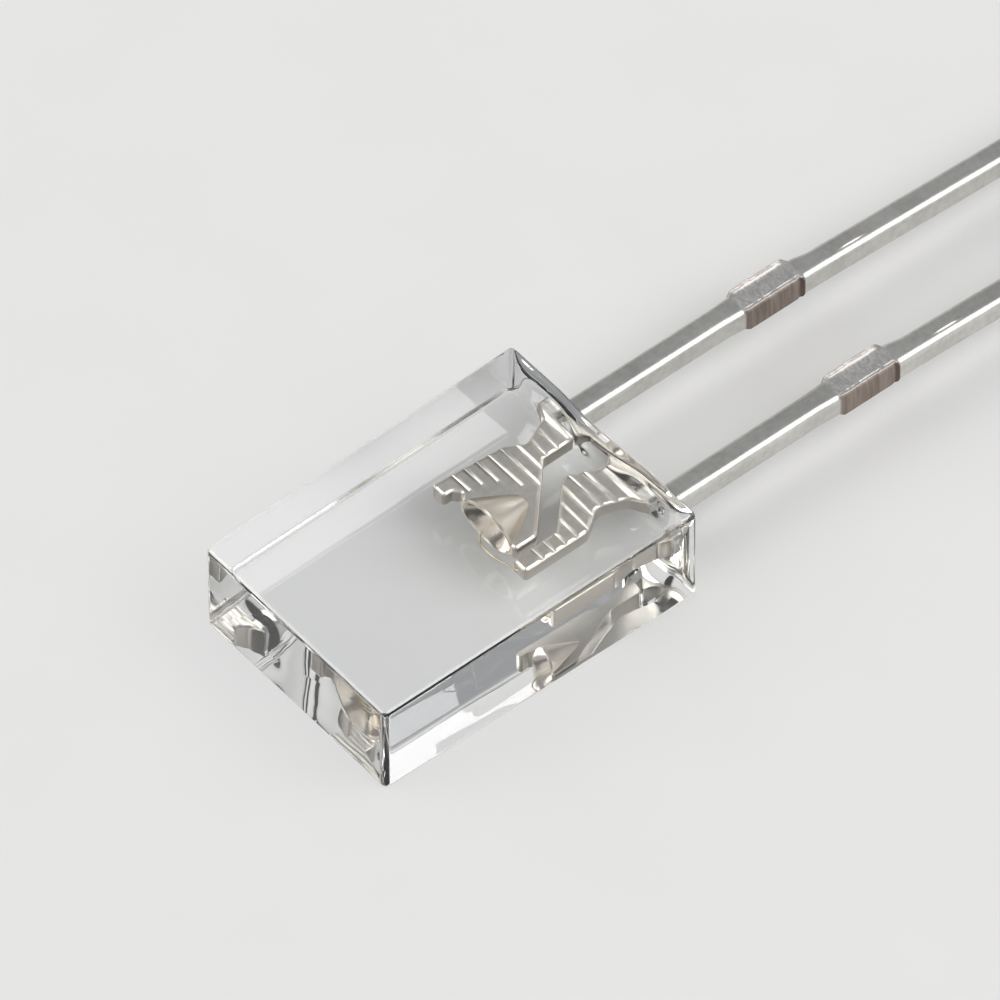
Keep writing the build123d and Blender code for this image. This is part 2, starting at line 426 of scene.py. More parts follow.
def make_piece(name, made, finish, node, sharp_angle, even=True):
    """Dresses an object as the piece that stands for a CAD node."""
    made.name = name
    made.data.name = name
    made.data.materials.clear()
    made.data.materials.append(finish.material)
    made.data.shade_smooth()
    made.data.set_sharp_from_angle(angle=math.radians(sharp_angle))
    if even:
        made.modifiers.new("even_normals", "WEIGHTED_NORMAL").keep_sharp = True
    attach(made, "root")
    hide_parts(node)
    print(name, len(made.data.polygons), "faces")


# %% Cut and join


def evaluated_data(made):
    """An object's mesh after its modifiers or its bevel."""
    bpy.context.view_layer.update()
    return bpy.data.meshes.new_from_object(made.evaluated_get(bpy.context.evaluated_depsgraph_get()))


def add_mesh(mesh, extra):
    """Adds another mesh, which is used up, to a mesh."""
    data = bpy.data.meshes.new("extra")
    extra.to_mesh(data)
    extra.free()
    mesh.from_mesh(data)
    bpy.data.meshes.remove(data)


def combine(base, tool, operation):
    """Changes the base object by a Boolean with a tool object, which is used up, and a weld."""
    change = base.modifiers.new(operation, "BOOLEAN")
    change.operation = operation
    change.solver = "EXACT"
    change.object = tool
    data = evaluated_data(base)
    base.modifiers.clear()
    base.data = data
    bpy.data.objects.remove(tool)
    mesh = bmesh.new()
    mesh.from_mesh(data)
    bmesh.ops.remove_doubles(mesh, verts=mesh.verts, dist=WELD * MILLIMETRE)
    mesh.to_mesh(data)
    mesh.free()


print("points are welded within", WELD, "mm")

# %% [markdown]
# ## Outline of a stamped head
#
# A press cuts the heads out of sheet, so each is one outline of straight runs and rounded corners. The
# corners are listed as setback, place across and radius, and the helper puts an arc into each. The punch
# also draws the top edges down, steeply at the side and gently further in. That rolled edge is a run of
# small facets, of which the gentle ones catch the light. A second blow coins the heads thinner than the
# leads, and leaves a short bright ramp at each root. The plate is cut beside each groove to come, so that
# the flat tops between them stay flat.

# %% Rounded outline


def rounded_outline(corners, steps=6):
    """Points round a closed outline, from corners given as setback, place across and corner radius."""
    places = [Vector((open_end - setback, across)) for setback, across, _ in corners]
    points = []
    for number, (_, _, radius) in enumerate(corners):
        here = places[number]
        if radius == 0:
            points.append(here)
            continue
        to_before = (places[number - 1] - here).normalized()
        to_after = (places[(number + 1) % len(places)] - here).normalized()
        half_angle = to_before.angle(to_after) / 2
        centre = here + (to_before + to_after).normalized() * radius / math.sin(half_angle)
        start = here + to_before * radius / math.tan(half_angle) - centre
        end = here + to_after * radius / math.tan(half_angle) - centre
        first = math.atan2(start.y, start.x)
        turn = (math.atan2(end.y, end.x) - first + math.pi) % (2 * math.pi) - math.pi
        for step in range(steps + 1):
            angle = first + turn * step / steps
            points.append(centre + radius * Vector((math.cos(angle), math.sin(angle))))
    return points


# %% Shrink an outline


def shrunk(outline, amount):
    """The outline moved inwards by an amount, square to its sides."""
    area = sum(a.cross(b) for a, b in zip(outline, outline[1:] + outline[:1]))
    inward = math.copysign(amount, area)
    points = []
    for number, here in enumerate(outline):
        before = (here - outline[number - 1]).normalized()
        after = (outline[(number + 1) % len(outline)] - here).normalized()
        normals = Vector((-before.y, before.x)) + Vector((-after.y, after.x))
        points.append(here + normals * inward / (1 + before.dot(after)))
    return points


# %% Sizes of a stamped head
coined = 0.05
ramp_start = open_end - 0.37
ramp_end = open_end - 0.22
lower_edge = 0.012
groove_setback = 0.61
groove_pitch = 0.254
groove_places = [open_end - groove_setback - groove_pitch * number for number in range(8)]
groove_half = 0.062
groove_depth = 0.021
groove_margin = groove_half + 0.012
# Slope in degrees and width in millimetres of each facet of a rolled edge, from the side inwards.
edge_facets = ((80, 0.002), (60, 0.004), (40, 0.006), (27, 0.013))
edge_facets += ((23, 0.014), (19, 0.014), (15, 0.013), (7, 0.008))


def rolled_edge(start, top, scale=1.0):
    """Places and levels over a rolled edge, from its low side at the start to the flat top."""
    facets = [(scale * width, scale * width * math.tan(math.radians(slope))) for slope, width in edge_facets]
    place, level = start, top - sum(rise for _, rise in facets)
    steps = [(place, level)]
    for width, rise in facets:
        place, level = place + width, level + rise
        steps.append((place, level))
    return steps


print("heads are coined", coined, "mm thinner than the leads, with", len(groove_places), "grooves")

# %% Raise a plate


def stamped_plate(corners):
    """A plate with its upper edge rolled over, coined thinner than the lead up to a ramp at its root."""
    outline = rounded_outline(corners)
    levels = [(lower_edge, frame_bottom), (0.0, frame_bottom + lower_edge)] + rolled_edge(0.0, frame_top)
    plate = skin([[(point.x, point.y, level) for point in shrunk(outline, inset)] for inset, level in levels])
    cuts = [ramp_start, ramp_end]
    for place in groove_places:
        cuts += [place - groove_margin, place + groove_margin]
    for place in cuts:
        everything = plate.verts[:] + plate.edges[:] + plate.faces[:]
        bmesh.ops.bisect_plane(plate, geom=everything, dist=SNAP, plane_co=(place, 0, 0), plane_no=(1, 0, 0))
    for vert in plate.verts:
        if vert.co.z > lead_height:
            rise = (vert.co.x - ramp_start) / (ramp_end - ramp_start)
            vert.co.z -= coined * (1 - min(1.0, max(0.0, rise)))
    return plate


print("thickness of a head:", round(2 * lead_half - coined, 3), "mm")

# %% [markdown]
# ## The leads
#
# A lead is square with rounded edges and slightly crowned on top. It runs straight for 4 mm to the stub of
# the sheared bar. Behind that it falls a little, so that its end touches the table. The shear has crushed
# the stub's corners sharp, turned up a burr along one top edge and scored a line along the other. Its cut
# face leans and ends in a notch. It has also pushed the lead behind the stub to the side, and the tool has
# left a short mark there. The whole lead is lofted through such sections. Close to the stub they stand two
# hundredths of a millimetre apart, so that the burr can be ragged.

# %% The line of a lead
bend_x = stub_end + 0.2
bend_radius = 10.0


def lead_line(tip_x):
    """A function that gives the middle height and the slope of a lead at each place along it."""
    slope = math.atan((lead_height - lead_half) / (tip_x - bend_x))
    reach = bend_radius * math.tan(slope / 2)

    def line(x):
        if x < bend_x - reach:
            return lead_height, 0.0
        if x > bend_x + reach * math.cos(slope):
            return lead_height - (x - bend_x) * math.tan(slope), slope
        angle = math.asin((x - bend_x + reach) / bend_radius)
        return lead_height - bend_radius * (1 - math.cos(angle)), angle

    return line


print("the leads stand", round(lead_height - lead_half, 2), "mm above the table at the body")

# %% Steps and humps
stub_half = 0.30
burr_end = stub_x + 1.14
edge_round = 0.12
sheared_round = 0.028
crown = 0.016
sway_step = 0.070
sway_more = 0.040


def smooth(value, low, high):
    """0 below low, 1 above high and smooth in between."""
    t = min(1.0, max(0.0, (value - low) / (high - low)))
    return t * t * (3 - 2 * t)


def hump(distance, width, power=2):
    """1 at no distance, 0.37 at the width, and dying away beyond it."""
    return math.exp(-((distance / width) ** power))


def stub_share(x):
    """How much of the stub's form a section has: 0 on the plain lead and 1 on the stub."""
    return smooth(x, stub_x - 0.13, stub_x) - smooth(x, stub_end + 0.02, stub_end + 0.12)


print("the stub is", 2 * stub_half, "mm wide, the lead", 2 * lead_half, "mm")

# %% Square sections
side_parts = (0.05, 0.13, 0.22, 0.36, 0.6, 0.95)
flat_places = (0.98, 0.94, 0.90, 0.86, 0.81, 0.75, 0.68, 0.6, 0.4, 0.2, 0.0, -0.16, -0.3, -0.42)
flat_places += (-0.56, -0.66, -0.72, -0.77, -0.82, -0.87, -0.92, -0.98)


def square_section(half_y, half_z, radius):
    """Points round a section with rounded edges, closest on its top, where the burr and the marks are."""
    points = []
    for side_y, side_z in ((1, 1), (-1, 1), (-1, -1), (1, -1)):
        for step in range(9):
            angle = math.pi / 2 * step / 8
            if side_y * side_z < 0:
                angle = math.pi / 2 - angle
            y = side_y * (half_y - radius + radius * math.cos(angle))
            z = side_z * (half_z - radius + radius * math.sin(angle))
            points.append((y, z))
        if (side_y, side_z) == (1, 1):
            points += [(share * (half_y - radius), half_z) for share in flat_places]
        else:
            next_y, next_z = (-y, z) if side_y == side_z else (y, -z)
            points += [(y + (next_y - y) * part, z + (next_z - z) * part) for part in side_parts]
    return points


print("points in a section:", len(square_section(lead_half, lead_half, edge_round)))

# %% Sections that the shear has worked on
swell_size = 0.018
root_step = 0.012
burr_inset = 0.040
burr_height = 0.034
burr_width = 0.050
score_place = 0.066
score_depth = 0.020
score_width = 0.016
mark_place = 0.085
mark_height = 0.013
mark_width = 0.022
mark_distance = 1.25
mark_length = 0.26
lean_depth = 0.045
notch_depth = 0.035


def lead_section(x, seed):
    """The points round a lead's section, as places across and up from the lead's middle."""

    def uneven(fineness, layer):
        return noise.noise((x * fineness, seed, layer))

    share = stub_share(x)
    swell = swell_size * smooth(x, stub_x - 0.6, stub_x - 0.12) * (1 - share) * (x < stub_x)
    half_y = lead_half + swell + (stub_half - lead_half) * share
    half_z = lead_half - root_step * (1 - smooth(x, open_end - 0.20, open_end - 0.14))
    half_y = min(half_y, half_y - lead_half + half_z)
    radius = edge_round + (sheared_round - edge_round) * share

    raised = smooth(x, stub_x - 0.04, stub_x + 0.05) - smooth(x, burr_end - 0.12, burr_end)
    torn = smooth(x, stub_x + 0.24, stub_x + 0.28) + smooth(x, stub_x + 0.50, stub_x + 0.54)
    ragged = uneven(2.6, 0.0) + 0.7 * uneven(9.0, 5.0)
    burr = raised * (burr_height + 0.010 * torn + 0.020 * ragged)
    burr_place = burr_inset + 0.012 * uneven(6.0, 11.0)
    scored = share * (0.55 + 0.9 * uneven(7.0, 17.0))
    mark = hump(x - stub_end - mark_distance, mark_length, 4)
    lean = share * (lean_depth + 0.05 * uneven(1.3, 23.0) + 0.012 * uneven(15.0, 29.0))
    notch = notch_depth * hump(x - stub_end - 0.02, 0.05)
    flare = sway_step * smooth(x, stub_end - 0.04, stub_end + 0.10)
    flare *= 1 - smooth(x, stub_end + 0.06, stub_end + 0.55)

    points = []
    for y, z in square_section(half_y, half_z, radius):
        new_y, new_z = y, z
        if y < 0:
            cut_back = 0.7 * smooth(z, half_z - 0.07, half_z) + 0.3 * smooth(z, half_z - 0.20, half_z - 0.07)
            new_y += (notch + lean * cut_back) * smooth(-y, 0.02, half_y)
        if y > 0:
            new_y += flare * smooth(y, 0.0, half_y)
        if z > 0:
            from_crest = y - half_y + burr_place
            crest = hump(from_crest, burr_width) - 0.40 * hump(from_crest + 0.018, 0.010)
            new_z -= crown * (1 - share) * (y / half_y) ** 2
            new_z += burr * crest * (1 - smooth(half_z - z, 0.0, 0.05))
        if z > half_z - 0.001:
            new_z -= score_depth * max(0.0, scored) * hump(y + half_y - score_place, score_width)
            new_z += mark_height * mark * hump(y + mark_place, mark_width)
        points.append((new_y, new_z))
    return points


burr_top = max(z for _, z in lead_section(stub_x + 0.5, seed=1.0))
print("the burr stands", round(burr_top - lead_half, 3), "mm above the top of the stub")

# %% Loft a lead


def sway(x, tip_x):
    """How far the shear has pushed a lead to the side behind its stub. Its tip is in line again."""
    pushed = sway_step * smooth(x, stub_end - 0.04, stub_end + 0.10)
    pushed += sway_more * smooth(x, stub_end, stub_end + 5.5)
    return -pushed * (1 - smooth(x, stub_end + 6.0, tip_x))


def lead_stations(tip_x):
    """Where the sections stand: close together at the stub and the mark behind it, far apart elsewhere."""
    places = [open_end - 0.25, open_end - 0.20, open_end - 0.17, open_end - 0.14, open_end + 0.4]
    places += [stub_x - 2.0 + 0.35 * step for step in range(4)]
    places += [stub_x - 0.62 + 0.02 * step for step in range(100)]
    places += [stub_end + 0.42 + 0.05 * step for step in range(32)]
    x = stub_end + 2.4
    while x < tip_x - 0.5:
        places.append(x)
        x += 0.9
    places += [tip_x - 0.3, tip_x - 0.03, tip_x - 0.012, tip_x]
    return sorted(places)


def lead_loft(across, length, seed):
    """A whole lead, from its root in the resin to its cut end."""
    tip_x = open_end + length
    line = lead_line(tip_x)
    rings = []
    for x in lead_stations(tip_x):
        height, slope = line(x)
        worn = 1 - 0.10 * smooth(x, tip_x - 0.03, tip_x) ** 2
        ring = []
        for y, z in lead_section(x, seed):
            side = across + sway(x, tip_x) + y * worn
            ring.append((x + z * worn * math.sin(slope), side, height + z * worn * math.cos(slope)))
        rings.append(ring)
    return skin(rings)


print("sections on the longer lead:", len(lead_stations(open_end + post_length)))

# %% [markdown]
# ## Grooves and the cup
#
# Eight cross grooves are coined into both heads, so that the resin keys to them. A Boolean cuts them as
# V-shaped prisms, which stand out above the metal by half the groove's depth, and they stop short of the pad
# that the cup is struck from. The cup is a shape turned about the body's long axis, with its rim rolled over
# like the edges of the heads. A full cone is joined to the plate first, and then its hollow is cut out of
# both at once.

# %% Groove cutters
head_top = frame_top - coined
pad_x = open_end - 2.33
pad_clear = 0.75
cutter_reach = 2.3


def groove_cutters():
    """V-shaped prisms across both heads, as one object."""
    mesh = bmesh.new()
    for x in groove_places:
        inner = math.sqrt(max(0.0, pad_clear**2 - (x - pad_x) ** 2))
        spans = [(-cutter_reach, cutter_reach)]
        if inner > 0:
            spans = [(-cutter_reach, -inner), (inner, cutter_reach)]
        for low, high in spans:
            above = head_top + groove_depth / 2
            overhang = 1.5 * groove_half
            section = [(x - overhang, above), (x, head_top - groove_depth), (x + overhang, above)]
            near = [mesh.verts.new((px, low, pz)) for px, pz in section]
            far = [mesh.verts.new((px, high, pz)) for px, pz in section]
            mesh.faces.new(near)
            mesh.faces.new(reversed(far))
            for one in range(3):
                mesh.faces.new((near[one - 1], far[one - 1], far[one], near[one]))
    bmesh.ops.recalc_face_normals(mesh, faces=mesh.faces)
    return object_of("groove_cutters", mesh)


print("grooves stop", pad_clear, "mm from the middle of the pad")

# %% Turned shapes for the cup
cup_setback = 2.63
cup_x = open_end - cup_setback
cup_rim = 0.68
cup_wall = 0.07
rim_roll = 0.6
cup_depth = 0.40
cup_floor = 0.26
cup_floor_x = cup_x + cup_depth
cone_length = 0.78
cone_end = 0.245
turn_steps = 96


def turned(profile, steps=turn_steps):
    """A mesh turned about the body's long axis at the leads' height, from places along it and radii."""
    rings = []
    for x, radius in profile:
        ring = []
        for step in range(steps):
            angle = 2 * math.pi * step / steps
            ring.append((x, radius * math.cos(angle), lead_height + radius * math.sin(angle)))
        rings.append(ring)
    return skin(rings)


def cup_cone():
    """The outside of the cup, full, with a rolled rim."""
    profile = [(cup_x, 0.3)] + rolled_edge(cup_x, cup_rim, rim_roll)
    x = profile[-1][0]
    for step in range(1, 13):
        share = step / 12
        profile.append((x + cone_length * share, cup_rim - (cup_rim - cone_end) * share**1.06))
    profile.append((cup_x + 0.84, 0.20))
    return object_of("cup_cone", turned(profile))


def cup_hollow():
    """The reflector's hollow: a slightly dished cone over a flat floor."""
    opening = cup_rim - cup_wall
    lead_in = 0.012
    profile = [(cup_x - 0.05, opening + 0.02), (cup_x - 0.001, opening + 0.016), (cup_x + lead_in, opening)]
    for step in range(1, 11):
        share = step / 10
        radius = opening + (cup_floor - opening) * share + 0.025 * math.sin(math.pi * share)
        profile.append((cup_x + lead_in + (cup_depth - lead_in) * share, radius))
    return object_of("cup_hollow", turned(profile))


print("cup: rim", cup_rim, "mm, floor", cup_floor, "mm,", cup_depth, "mm deep")

# %% [markdown]
# ## The anvil
#
# The anvil is the piece that carries the cup. Its neck leaves the lead, widens into the grooved plate and
# ends in a spur beside the cup. The outline is the CAD model's, repeated here because this file reads
# nothing but the frame.

# %% Build the anvil
root_setback = 0.21
gusset_setback = 0.25
shoulder_setback = 0.42
neck_inner = lead_y - lead_half - 0.54
neck_outer = neck_inner + 0.45
spur_inner = lead_y - 0.34
waist_setback = 0.95
tip_setback = 2.81
tip_radius = 0.08
shoulder_radius = 0.22
arm_inner = -lead_y + 0.36
head_inner = arm_inner + 0.13
notch_setback = cup_setback - 0.11

anvil_corners = [
    (root_setback, lead_y + lead_half, 0),
    (shoulder_setback, neck_outer + 0.24, shoulder_radius),
    (waist_setback, neck_outer, 0.15),
    (1.30, lead_y - 0.12, 0.12),
    (tip_setback, lead_y, tip_radius),
    (tip_setback, spur_inner, tip_radius),
    (cup_setback, spur_inner, 0),
    (notch_setback, (spur_inner + cup_rim) / 2, 0.03),
    (cup_setback, cup_rim, 0),
    (cup_setback, head_inner, tip_radius),
    (2.14, head_inner, 0.12),
    (waist_setback, neck_inner, 0.15),
    (gusset_setback, neck_inner, tip_radius),
    (root_setback, lead_y - lead_half, 0),
]
anvil = object_of("anvil", stamped_plate(anvil_corners))
combine(anvil, cup_cone(), "UNION")
combine(anvil, cup_hollow(), "DIFFERENCE")
combine(anvil, groove_cutters(), "DIFFERENCE")
combine(anvil, object_of("anvil_rod", lead_loft(lead_y, anvil_length, seed=1.0)), "UNION")
make_piece("anvil_lead_with_cup", anvil, steel, "anvil_lead", sharp_angle=32)

# %% [markdown]
# ## The post
#
# The post is the other pole. Its crooked arm reaches past the cup and takes the far end of the wire. It is
# made in the same way, without the cup.

# %% Build the post
bend_inner = neck_inner - 0.50
bend_outer = bend_inner - 0.93

post_corners = [
    (root_setback, -lead_y + lead_half, 0),
    (gusset_setback, -lead_y + lead_half + 0.68, tip_radius),
    (waist_setback, bend_inner, shoulder_radius),
    (1.82, arm_inner, tip_radius),
    (tip_setback, arm_inner, tip_radius),
    (tip_setback, -lead_y, tip_radius),
    (1.42, -lead_y, shoulder_radius),
    (waist_setback, bend_outer, shoulder_radius),
    (shoulder_setback, bend_outer - 0.20, shoulder_radius),
    (root_setback, -lead_y - lead_half, 0),
]
post = object_of("post", stamped_plate(post_corners))
combine(post, groove_cutters(), "DIFFERENCE")
combine(post, object_of("post_rod", lead_loft(-lead_y, post_length, seed=9.0)), "UNION")
make_piece("post_lead_stamped", post, steel, "post_lead", sharp_angle=32)

# %% [markdown]
# ## Adhesive and chip
#
# The adhesive is a drop that the chip was pressed into, so it stands highest at the chip's sides and thins
# out in an uneven edge. It is turned like the cup, and noise shifts its edge. The chip is a sawn block with
# slightly slanted sides and a thin round pad.

# %% Build the adhesive
drop_profile = ((0.214, 0.0), (0.217, 0.006), (0.20, 0.018), (0.175, 0.034), (0.150, 0.050), (0.11, 0.02))
drop_reach = 0.22


def adhesive_drop():
    """A drop with an uneven edge, highest where the chip was pressed in."""
    rings = []
    for radius, height in drop_profile:
        ring = []
        for step in range(72):
            angle = 2 * math.pi * step / 72
            edge = 1 + 0.03 * noise.noise((3 * math.cos(angle), 3 * math.sin(angle), 4.0)) * (radius > 0.16)
            squarer = 1 + 0.10 * math.cos(4 * angle + math.pi) ** 2 * (0.12 < radius < 0.18)
            reach = min(radius * edge * squarer, drop_reach)
            y = reach * math.cos(angle)
            z = reach * math.sin(angle)
            ring.append((cup_floor_x - height, y, lead_height + z))
        rings.append(ring)
    return skin(rings)


drop = object_of("adhesive", adhesive_drop())
make_piece("adhesive_drop", drop, adhesive, "die_attach", sharp_angle=60)

# %% Build the chip


def chip_block():
    """A sawn block that narrows a little towards its face, and its pad."""
    rings = []
    edge = 0.006
    half = chip_size / 2
    levels = ((chip_back, half - 0.004), (chip_back - 0.01, half), (chip_face + 0.03, half - 0.002))
    levels += ((chip_face + 0.008, half - 0.012), (chip_face + 0.003, half - 0.018))
    for x, reach in levels:
        ring = []
        for side_y, side_z in ((1, 1), (-1, 1), (-1, -1), (1, -1)):
            for cut_y, cut_z in (((0, edge), (edge, 0)), ((edge, 0), (0, edge)))[side_y * side_z < 0]:
                ring.append((x, side_y * (reach - cut_y), lead_height + side_z * (reach - cut_z)))
        rings.append(ring)
    block = skin(rings)
    pad_profile = [(chip_face + 0.006, pad_radius), (chip_face, pad_radius), (chip_face, 0.01)]
    add_mesh(block, turned(pad_profile, steps=48))
    return block


chip = object_of("chip", chip_block())
make_piece("chip_crystal", chip, crystal, "led_chip", sharp_angle=30)

# %% [markdown]
# ## Bond wire
#
# The wire starts in a ball that was pressed onto the pad, rises out of the cup, turns sideways and ends in a
# flat wedge on the post's end face. A curve with a round bevel is the shortest way to such a shape. The ball
# and the wedge are turned shapes on its ends, listed as heights above their face and radii.

# %% Build the wire
wire_radius = 0.015
wedge_x = open_end - tip_setback
wedge_y = -lead_y + 0.18
wire_points = [
    (chip_face - 0.02, 0.0),
    (chip_face - 0.12, 0.0),
    (cup_x, 0.0),
    (cup_x - 0.20, -0.045),
    (cup_x - 0.31, -0.20),
    (cup_x - 0.335, -0.40),
    (cup_x - 0.31, -0.65),
    (cup_x - 0.255, -0.88),
    (wedge_x - 0.022, wedge_y + 0.045),
    (wedge_x - 0.008, wedge_y - 0.005),
]


def wire_mesh():
    """The wire as a tube that follows a smooth spline through its points."""
    curve = bpy.data.curves.new("wire", "CURVE")
    curve.dimensions = "3D"
    curve.bevel_depth = wire_radius
    curve.bevel_resolution = 5
    curve.use_fill_caps = True
    spline = curve.splines.new("NURBS")
    spline.points.add(len(wire_points) - 1)
    for point, (x, y) in zip(spline.points, wire_points):
        point.co = (x, y, lead_height, 1.0)
    spline.order_u = 4
    spline.use_endpoint_u = True
    spline.resolution_u = 8
    holder = in_scene("wire", curve)
    data = evaluated_data(holder)
    bpy.data.objects.remove(holder)
    mesh = bmesh.new()
    mesh.from_mesh(data)
    return mesh


def add_turned(mesh, profile, across):
    """Adds a small turned shape to the wire's mesh, moved across to its place."""
    extra = turned(profile, steps=40)
    bmesh.ops.translate(extra, verts=extra.verts, vec=(0, across, 0))
    add_mesh(mesh, extra)


wire = wire_mesh()
ball = ((0.0, 0.034), (0.003, 0.041), (0.011, 0.045), (0.02, 0.042))
ball += ((0.026, 0.032), (0.030, 0.018), (0.038, 0.0155))
wedge = ((0.0, 0.042), (0.004, 0.045), (0.009, 0.043), (0.016, 0.03), (0.019, 0.012))
add_turned(wire, [(chip_face - height, radius) for height, radius in ball], 0.0)
add_turned(wire, [(wedge_x - height, radius) for height, radius in wedge], wedge_y)
wire = object_of("wire", wire)
make_piece("bond_wire_gold", wire, gold, "bond_wire", sharp_angle=50)

# %% [markdown]
# ## The epoxy body
#
# The block is drafted: it leaves the mould open end first, so it is wider and thicker there. The body is
# skinned over rounded rectangles from the front face to the open end. There the resin was free, and it set
# with a meniscus: it clings to the mould wall in a thin lip, lies lower in the middle and climbs each lead.
# That surface goes on in ever smaller rings, whose depth comes from the distance to the wall and to the
# leads. It is one closed skin without a cavity, because the metal simply stands in the resin.

# %% Rounded rectangles


def spaced(count, margin):
    """Shares from 0 to 1, ends left out, with one close to each end."""
    return [margin] + [step / count for step in range(1, count)] + [1 - margin]


def rectangle_ring(half_y, low, high, radius):
    """Places across and up round a rectangle with rounded corners, the same number in every ring."""
    points = []
    arc_steps = 10
    corners = ((half_y, high, 0), (-half_y, high, 90), (-half_y, low, 180), (half_y, low, 270))
    for number, (y, z, start) in enumerate(corners):
        centre_y = y - math.copysign(radius, y)
        centre_z = z - radius if z == high else z + radius
        for step in range(arc_steps + 1):
            angle = math.radians(start + 90 * step / arc_steps)
            points.append((centre_y + radius * math.cos(angle), centre_z + radius * math.sin(angle)))
        last_y, last_z = points[-1]
        if number % 2 == 0:
            run, shares = -2 * last_y, spaced(110, 0.0015)
            points += [(last_y + run * share, last_z) for share in shares]
        else:
            run, shares = low + high - 2 * last_z, spaced(36, 0.004)
            points += [(last_y, last_z + run * share) for share in shares]
    return points


print("points in a ring of the body:", len(rectangle_ring(back_half_width, 0.0, back_height, edge_radius)))

# %% Meniscus
meniscus_depth = 0.21
lip = 0.05
wall_reach = 0.27
climb_reach = 0.34
climb_share = 0.66
rim_dip = 0.05
rim_reach = 0.55
corner_dip = 0.008
corner_round = 0.07
dimple_depth = 0.06
# Place across, height and spread of each dimple.
dimples = ((0.22, 1.02, 0.11), (-1.66, 1.05, 0.10))


def to_lead(y, z):
    """Distance from a point of the open end to the nearer lead."""
    rounding = 0.08
    away_y = max(0.0, abs(abs(y) - lead_y) - (lead_half - rounding))
    away_z = max(0.0, abs(z - lead_height) - (lead_half - rounding))
    return max(0.0, math.hypot(away_y, away_z) - rounding)


def hollow_depth(y, z):
    """How far the resin's free surface lies in from the open end."""
    from_side = back_half_width - abs(y)
    from_face = min(z, back_height - z)
    from_wall = 1 / (1 / max(1e-4, from_side - lip) ** 4 + 1 / max(1e-4, from_face - lip) ** 4) ** 0.25
    wall = 1 - hump(from_wall, wall_reach, 1.4)
    depth = meniscus_depth * wall * (1 - climb_share * hump(to_lead(y, z), climb_reach, 1.4))
    for centre_y, centre_z, spread in dimples:
        depth += dimple_depth * math.exp(-((y - centre_y) ** 2 + (z - centre_z) ** 2) / spread**2)
    return depth


def rim_place(y):
    """How far along the lip reaches: less far between the leads, and rounded off at the corners."""
    over = max(0.0, abs(y) - back_half_width + corner_round)
    rounded_off = corner_round - math.sqrt(corner_round**2 - min(over, corner_round) ** 2)
    dip = rim_dip if abs(y) < lead_y else corner_dip
    return open_end - rounded_off - dip * (1 - hump(abs(y) - lead_y, rim_reach))


print("the resin lies in by", round(hollow_depth(0.0, back_height / 2), 3), "mm in the middle")

# %% Rings along the sides


def side_rings():
    """Rings from the front face along the sides, close together where the front corners are round."""
    rings = []
    places = [0.0] + [front_corner_radius * (1 - math.cos(math.pi / 2 * step / 12)) for step in range(1, 13)]
    places += [0.20, 0.5, 1.5, 2.5, 3.5, 4.5, 5.5, 6.3]
    for place in places:
        share = place / (open_end - front_end)
        half_y = front_half_width + (back_half_width - front_half_width) * share
        high = front_height + (back_height - front_height) * share
        from_corner = max(0.0, front_corner_radius - place)
        from_edge = max(0.0, edge_radius - place)
        inset_y = front_corner_radius - math.sqrt(front_corner_radius**2 - from_corner**2)
        inset_z = edge_radius - math.sqrt(edge_radius**2 - from_edge**2)
        radius = max(0.012, edge_radius - 0.5 * (inset_y + inset_z))
        ring = rectangle_ring(half_y - inset_y, inset_z, high - inset_z, radius)
        rings.append([(front_end + place, y, z) for y, z in ring])
    return rings


print("rings along the sides:", len(side_rings()))

# %% Rings over the open end


def end_rings():
    """Rings over the rounded lip, and then inwards over the meniscus to the middle."""
    rings = []
    rim = rectangle_ring(back_half_width, 0.0, back_height, edge_radius)
    middle = back_height / 2
    spine = back_half_width - middle
    angles = [math.pi / 16 * step for step in range(9)]
    steps = [(lip * (1 - math.cos(angle)), lip * (1 - math.sin(angle))) for angle in angles]
    steps += [(lip + 0.014 * step, 0.0) for step in range(1, 73)] + [(middle, 0.0)]
    for inset, below in steps:
        ring = []
        for y, z in rim:
            inner_y = max(-spine, min(spine, y))
            new_y = y + (inner_y - y) * inset / middle
            new_z = z + (middle - z) * inset / middle
            depth = below if inset <= lip else hollow_depth(new_y, new_z)
            ring.append((rim_place(new_y) - depth, new_y, new_z))
        rings.append(ring)
    return rings


body = skin(side_rings() + end_rings(), close_end=False)
bmesh.ops.remove_doubles(body, verts=body.verts, dist=SNAP)
print("open edges left in the body:", sum(1 for edge in body.edges if len(edge.link_faces) != 2))
body = object_of("body", body)
make_piece("epoxy_body_clear", body, epoxy, "epoxy_body", sharp_angle=50, even=False)

# %% [markdown]
# ## Table, light and camera
#
# The part lies on a plain pale table. One broad lamp stands to its right in the picture, so that the rolled
# edges of the metal draw bright lines, and another on the left lights up the grooves. The studio has pale
# walls and a darker ceiling: clear resin has no colour of its own, and only shows by what its edges bend and
# mirror.

# %% Pale table
table = Finish("pale_table")
mottle = table.grain(table.place(), 0.35, detail=2.0)
table.set(Base_Color=table.blend(mottle, (0.72, 0.715, 0.705), (0.75, 0.745, 0.735)))
table.set(Roughness=0.75)

half_table = 600.0
below_part = -0.01
table_mesh = bmesh.new()
bmesh.ops.create_grid(table_mesh, x_segments=8, y_segments=8, size=half_table)
bmesh.ops.translate(table_mesh, verts=table_mesh.verts, vec=(0, 0, below_part))
table_top = object_of("table_top", table_mesh)
table_top.data.materials.append(table.material)
print("table:", table_top.dimensions[:])

# %% Lamps and surroundings


